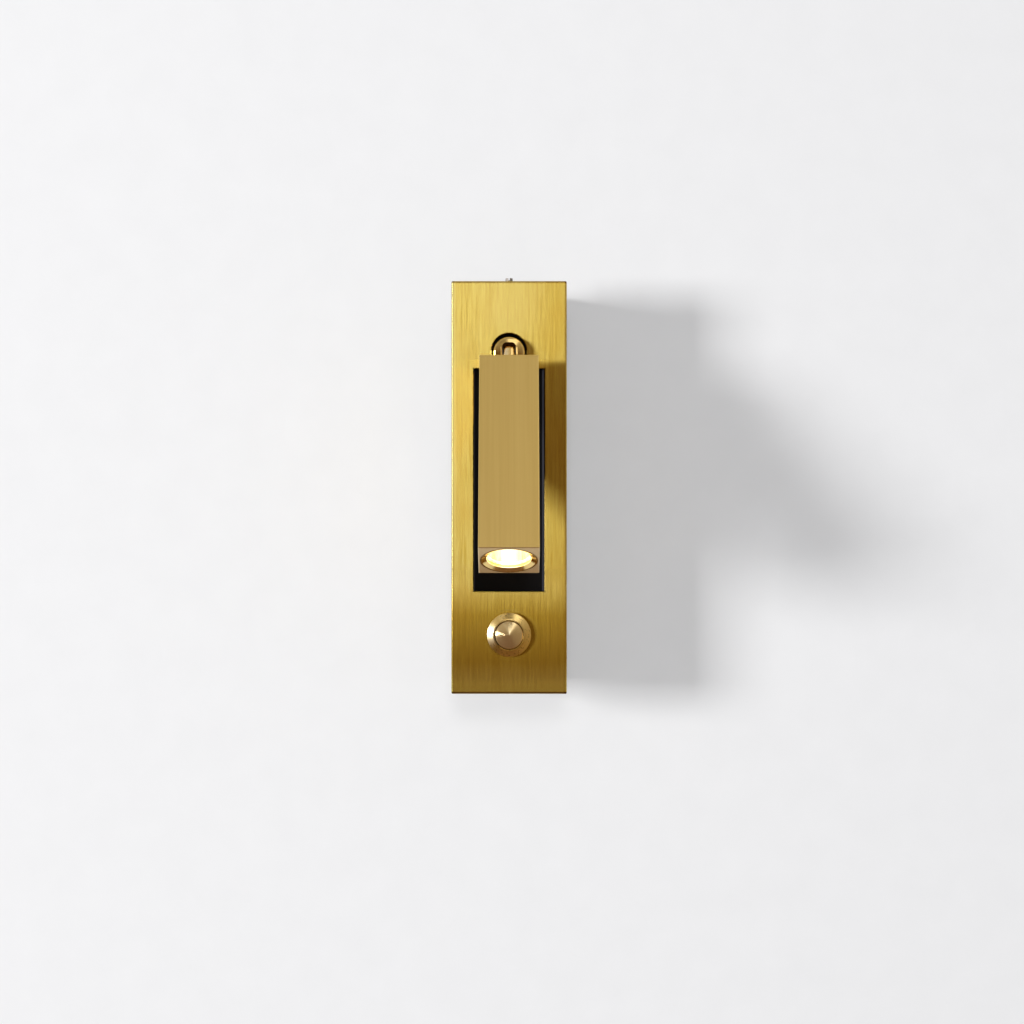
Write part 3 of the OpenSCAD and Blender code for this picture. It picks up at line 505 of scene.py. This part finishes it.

# Painted light and shade: a paler tone on the upper half and a deeper one on the lower half,
# painted highlights under the head and towards the lamp, and painted shade where it turns down.
painted_shade_tone = switch_brass.blend(switch_cloud, shade(204, 162, 76), shade(214, 174, 88))
painted_light_tone = switch_brass.blend(switch_cloud, shade(208, 178, 110), shade(218, 190, 122))
switch_tone = switch_brass.blend(switch_brass.spread(away_z, -0.5, 0.5), painted_shade_tone, painted_light_tone)
painted_lamp_side = switch_brass.spread(away_x, -0.75, -0.95, 0, 0.7)
switch_tone = switch_brass.blend(painted_lamp_side, switch_tone, shade(240, 224, 186))
painted_under_head_sheen = switch_brass.spread(away_z, 0.8, 0.97)
switch_tone = switch_brass.blend(painted_under_head_sheen, switch_tone, shade(255, 226, 150))
painted_turned_down_shade = (switch_brass.spread(away_z, 0.12, -0.2)
               * switch_brass.spread(away_x, -0.3, -0.7))
switch_tone = switch_brass.blend(painted_turned_down_shade * 0.45, switch_tone, shade(70, 48, 22))

marks_per_metre = 6000
tool_marks = switch_brass.node("TexNoise", {"noise_dimensions": "1D"},
                               {"W": reach * marks_per_metre, "Detail": 2}, "Fac")
ring_slope = switch_brass.spread(tool_marks, 0.3, 0.7, -0.15, 0.15)
switch_brass.feed(base_color=switch_tone,
                  roughness=switch_brass.spread(switch_cloud, 0.3, 0.7, 0.26, 0.32),
                  normal=leaning(switch_brass, away, ring_slope))
switch_brass.mix_in(0.3, switch_brass.glossy(switch_tone, 0.5))

# Radii, and heights over the front of the plate, in millimetres
mm = 0.001
rim_r, well_r, lip_room_r, base_room_r, barrel_r = 9.05, 6.05, 6.65, 7.1, 8
bezel_top, seat, lip_stop, base_top, barrel_end = 2.3, 0.4, -2.2, -11, -16
shell_profile = np.vstack([
    bowed((rim_r - 0.03, 0.92), (6.6, bezel_top), 0.04),
    [[well_r + 0.1, bezel_top], [well_r, bezel_top - 0.1], [well_r, lip_stop],
     [lip_room_r, lip_stop], [lip_room_r, base_top], [base_room_r, base_top],
     [base_room_r, barrel_end], [barrel_r, barrel_end], [barrel_r, seat],
     [rim_r - 0.05, seat], [rim_r, seat + 0.05], [rim_r, 0.87]]])
bezel = add_grid("switch_bezel", on_face(turned(shell_profile * mm, 128), switch_z),
                 switch_brass, "wall_unit", closed=True)
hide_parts("switch_shell")

# Switch cap
# The round brass cap that is pressed, turned on a lathe with its stem. Its front is flat, and
# each fine ring of the tool has a sloped side and a steep one, in its shading.
cap_brass = Finish("cap_brass", metallic=1.0)
cap_cloud = cap_brass.noise(cap_brass.place, 1200, 3)
away, reach = from_axis(cap_brass)
cap_tone = cap_brass.blend(cap_cloud, shade(214, 188, 138), shade(224, 200, 152))
[away_up] = cap_brass.along("Z", away)
# Painted highlight on the top of the cap.
painted_cap_highlight = cap_brass.spread(away_up, 0.85, 0.98)
cap_tone = cap_brass.blend(painted_cap_highlight * 0.45, cap_tone, shade(255, 248, 212))
rings_per_metre = 5000
tooth = (reach * rings_per_metre).math("FRACT", reach * rings_per_metre)
cap_brass.feed(base_color=cap_tone,
               roughness=cap_brass.spread(cap_cloud, 0.3, 0.7, 0.16, 0.2),
               normal=leaning(cap_brass, away, tooth * 0.25 + tooth ** 24 * 0.3 + 0.1))
cap_brass.mix_in(0.27, cap_brass.glossy(cap_tone, 0.5))

cap_r, lip_r, stem_r = 5.8, 6.4, 2
cap_top_h, lip_top, lip_under, stem_end = 2.05, -2.25, -3.5, -12.4
cap_profile = np.array([
    [0, stem_end], [stem_r, stem_end], [stem_r, lip_under], [lip_r, lip_under],
    [lip_r, lip_top], [cap_r, lip_top], [cap_r, cap_top_h - 0.3],
    [cap_r - 0.15, cap_top_h - 0.1], [cap_r - 0.35, cap_top_h], [0, cap_top_h]])
cap = add_grid("switch_button", on_face(turned(cap_profile * mm, 96), switch_z),
               cap_brass, "button")
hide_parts("switch_cap")


# Light opening
# A white LED under a clear dome shines into a gold-coated reflector behind a flat glass, which
# a polished brass ring holds in the head against a ring of pale silicone.
def lamplight(finish):
    """Colour of the light on a surface in the opening: white behind the middle of the glass,
    yellow in streaks towards the two sides near the mouth."""
    [sideways] = finish.along("X")
    streaks = finish.noise(finish.stretched((900, 200, 120)), 1, 3)
    outside = finish.spread(abs(sideways) + streaks * 0.003, 0.0036, 0.007)
    tone = finish.blend(outside, shade(255, 253, 246), shade(252, 240, 190))
    flank = outside * finish.spread(depth_in(finish), 0.0075, 0.0035)
    return finish.blend(flank * finish.spread(streaks, 0.35, 0.6), tone, shade(240, 206, 96))


# Painted light: the reflector glows with emission in place of the LED's light on it.
reflector_gold = Finish("reflector_gold", metallic=1.0, roughness=0.18, emission_strength=1.25)
reflector_gold.feed(base_color=shade(240, 205, 120), emission_color=lamplight(reflector_gold))
assign(reflector_gold, "reflector")

ring_brass = Finish("ring_brass", metallic=1.0, emission_strength=1.25)
ring_marks = ring_brass.noise(ring_brass.place, 2600, 3)
ring_depth = depth_in(ring_brass)
ring_x, ring_y, ring_z = ring_brass.along("XYZ")
ring_back = ((ring_y + plate_front) * math.cos(head_tilt)
             - (ring_z - pivot_height) * math.sin(head_tilt))
ring_radius = (ring_x * ring_x + ring_back * ring_back) ** 0.5
# Painted light: the bore of the ring glows with the LED's light.
lit_bore = (ring_brass.spread(ring_radius, 0.0094, 0.0092)
            * ring_brass.spread(ring_depth, 0.0009, 0.00095))
ring_brass.feed(
    base_color=ring_brass.blend(ring_marks, shade(236, 204, 130), shade(244, 216, 146)),
    roughness=ring_brass.spread(ring_marks, 0.3, 0.7, 0.1, 0.16),
    emission_color=ring_brass.blend(lit_bore, black, lamplight(ring_brass)))
assign(ring_brass, "lens_ring")

phosphor = Finish("led_phosphor", roughness=0.25, emission_strength=12.0)
phosphor_cloud = phosphor.noise(phosphor.place, 900)
phosphor.feed(base_color=shade(245, 215, 120),
              emission_color=phosphor.blend(phosphor_cloud, shade(255, 236, 190),
                                            shade(255, 246, 220)))
assign(phosphor, "led_chip")

clear_glass = Finish("clear_glass")
smears = clear_glass.noise(clear_glass.place, 300, 3)
clear_glass.feed(base_color=shade(250, 250, 246),
                 roughness=clear_glass.spread(smears, 0.3, 0.7, 0.01, 0.05),
                 alpha=clear_glass.spread(smears, 0.3, 0.7, 0.05, 0.08))
assign(clear_glass, "front_glass")

# Sheet-metal pocket and back box
# Folded steel sheet with matt black powder paint, a little rough like fine orange peel. Painted
# highlights run along the two upright folds of the pocket.
black_sheet = Finish("black_sheet", specular_ior_level=0.25)
peel = black_sheet.noise(black_sheet.place, 2200, 3)
paint_cloud = black_sheet.noise(black_sheet.place, 120, 3)
sheet_x, sheet_y, sheet_z = black_sheet.along("XYZ")
inside = (black_sheet.spread(sheet_y, -0.003, -0.004)
          * black_sheet.within(sheet_z, -0.052, -0.048, 0.052, 0.056)
          * black_sheet.spread(sheet_x, -0.0165, -0.016))
# Painted highlights along the two upright folds.
painted_fold_highlights = inside * (black_sheet.within(sheet_x, 0.0137, 0.0139, 0.0144, 0.0146)
                  + black_sheet.spread(sheet_x, -0.0142, -0.0144) * 0.5)
paint = black_sheet.blend(paint_cloud, shade(6, 6, 8), shade(11, 11, 14))
black_sheet.feed(base_color=black_sheet.blend(painted_fold_highlights, paint, shade(66, 66, 74)),
                 roughness=black_sheet.spread(paint_cloud, 0.3, 0.7, 0.42, 0.55),
                 normal=black_sheet.bump(peel, 0.00003, 0.5))
assign(black_sheet, "recess_pocket", "back_box")

# Fasteners
# Screws, studs, nuts and washers of zinc-plated steel, slightly cloudy. The set screw at the
# top is duller, and the earth nut and the switch's tags are plain brass.
plated_steel = Finish("plated_steel", metallic=1.0)
zinc = plated_steel.noise(plated_steel.place, 1500, 4)
plated_steel.feed(
    base_color=plated_steel.blend(zinc, shade(196, 194, 190), shade(216, 214, 208)),
    roughness=plated_steel.spread(zinc, 0.3, 0.7, 0.25, 0.4),
    normal=plated_steel.bump(zinc, 0.000005, 0.3))
assign(plated_steel, "plate_studs", "stud_nuts", "earth_stud", "terminal_screws",
       "set_screw_nut", "knuckle_washer", "knuckle_nut", "hinge_pin", "switch_nut",
       "switch_spring", "tongue_nut", "board_screws")

dull_steel = Finish("dull_steel", metallic=1.0)
dull_cloud = dull_steel.noise(dull_steel.place, 2500, 4)
dull_steel.feed(
    base_color=dull_steel.blend(dull_cloud, shade(142, 137, 132), shade(172, 166, 160)),
    roughness=dull_steel.spread(dull_cloud, 0.3, 0.7, 0.55, 0.7))
assign(dull_steel, "top_set_screw")

plain_brass = Finish("plain_brass", metallic=1.0)
brass_cloud = plain_brass.noise(plain_brass.place, 900, 4)
plain_brass.feed(
    base_color=plain_brass.blend(brass_cloud, shade(204, 176, 104), shade(222, 196, 124)),
    roughness=plain_brass.spread(brass_cloud, 0.3, 0.7, 0.22, 0.38))
assign(plain_brass, "earth_nut", "switch_tags")

# Return spring
# Plated steel wire wound round the stem of the cap. It stands on the switch's base. In the real
# switch it gets shorter as the cap is pressed; here it stays fixed with the box.
spring = bpy.data.objects.new("return_spring", nodes["switch_spring"].data.copy())
spring.matrix_world = nodes["switch_spring"].matrix_world
bpy.context.scene.collection.objects.link(spring)
weld(spring.data)
spring.data.shade_smooth()
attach(spring, "wall_unit")
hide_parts("switch_spring")
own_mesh(spring)


# Rubber, plastic and foam pieces
# Moulded parts: the cable bushing, gaskets, washers, switch base, terminal block, driver case
# and pad, and the white board that carries the LED.
def moulded(name, dark, light, scale, low, high, *targets):
    """Moulded material whose tone and roughness follow a fine cloud of that scale."""
    finish = Finish(name)
    cloud = finish.noise(finish.place, scale, 3)
    finish.feed(base_color=finish.blend(cloud, dark, light),
                roughness=finish.spread(cloud, 0.3, 0.7, low, high),
                normal=finish.bump(cloud, 0.00002, 0.2))
    assign(finish, *targets)
    return finish


white, bright_white = shade(226, 226, 222), shade(238, 238, 234)
moulded("black_rubber", shade(24, 24, 25), shade(38, 38, 40), 1500, 0.6, 0.8,
        "cable_bushing", "switch_gasket")
moulded("black_plastic", shade(22, 22, 24), shade(32, 32, 34), 1200, 0.35, 0.5,
        "friction_washers", "switch_base")
moulded("white_plastic", white, bright_white, 1200, 0.35, 0.5, "terminal_block", "led_driver")
moulded("foam", shade(60, 60, 62), shade(88, 88, 90), 3500, 0.8, 0.95, "driver_pad")
moulded("white_board", shade(232, 232, 226), shade(244, 244, 240), 900, 0.3, 0.45, "led_board")
silicone = moulded("white_rubber", white, bright_white, 1500, 0.5, 0.7, "glass_gasket")
# Painted light: the gasket glows with the LED's light.
silicone.feed(emission_strength=1.2, emission_color=lamplight(silicone))

# Heat sink
# Bare aluminium, turned on a lathe. It stands in the bore of the head, and the board of the
# LED is screwed to it.
aluminium = Finish("aluminium", metallic=1.0)
turned_marks = aluminium.noise(aluminium.stretched((200, 200, 4000), head_turn), 1, 3)
aluminium.feed(
    base_color=aluminium.blend(turned_marks, shade(196, 198, 202), shade(214, 216, 220)),
    roughness=aluminium.spread(turned_marks, 0.3, 0.7, 0.25, 0.4),
    normal=aluminium.bump(turned_marks, 0.00001, 0.3))
assign(aluminium, "heat_sink")


# Leads
# Stranded wires in smooth coloured insulation, inside the box and through the knuckle into
# the head. A lead's place across the box tells its colour.
def insulated(name, bands, *targets):
    """Insulation whose colour changes at given places in x, from the left to the right."""
    finish = Finish(name)
    [x] = finish.along("X")
    tone = bands[0][1]
    for start, colour in bands[1:]:
        tone = finish.blend(x > start, tone, colour)
    cloud = finish.noise(finish.place, 700, 2)
    dust = finish.spread(cloud, 0.3, 0.7, 0, 0.15)
    finish.feed(base_color=finish.blend(dust, tone, shade(120, 120, 120)),
                roughness=finish.spread(cloud, 0.3, 0.7, 0.28, 0.4))
    assign(finish, *targets)


blue, brown, green = shade(40, 90, 170), shade(105, 62, 40), shade(90, 160, 60)
insulated("mains_insulation", [(-1, blue), (-0.0065, brown), (0.004, green)], "mains_leads")
insulated("switched_insulation", [(-1, brown)], "switch_lead")
insulated("lamp_insulation", [(-1, shade(30, 30, 32)), (0.0, shade(170, 40, 36))],
          "lamp_leads", "head_leads")
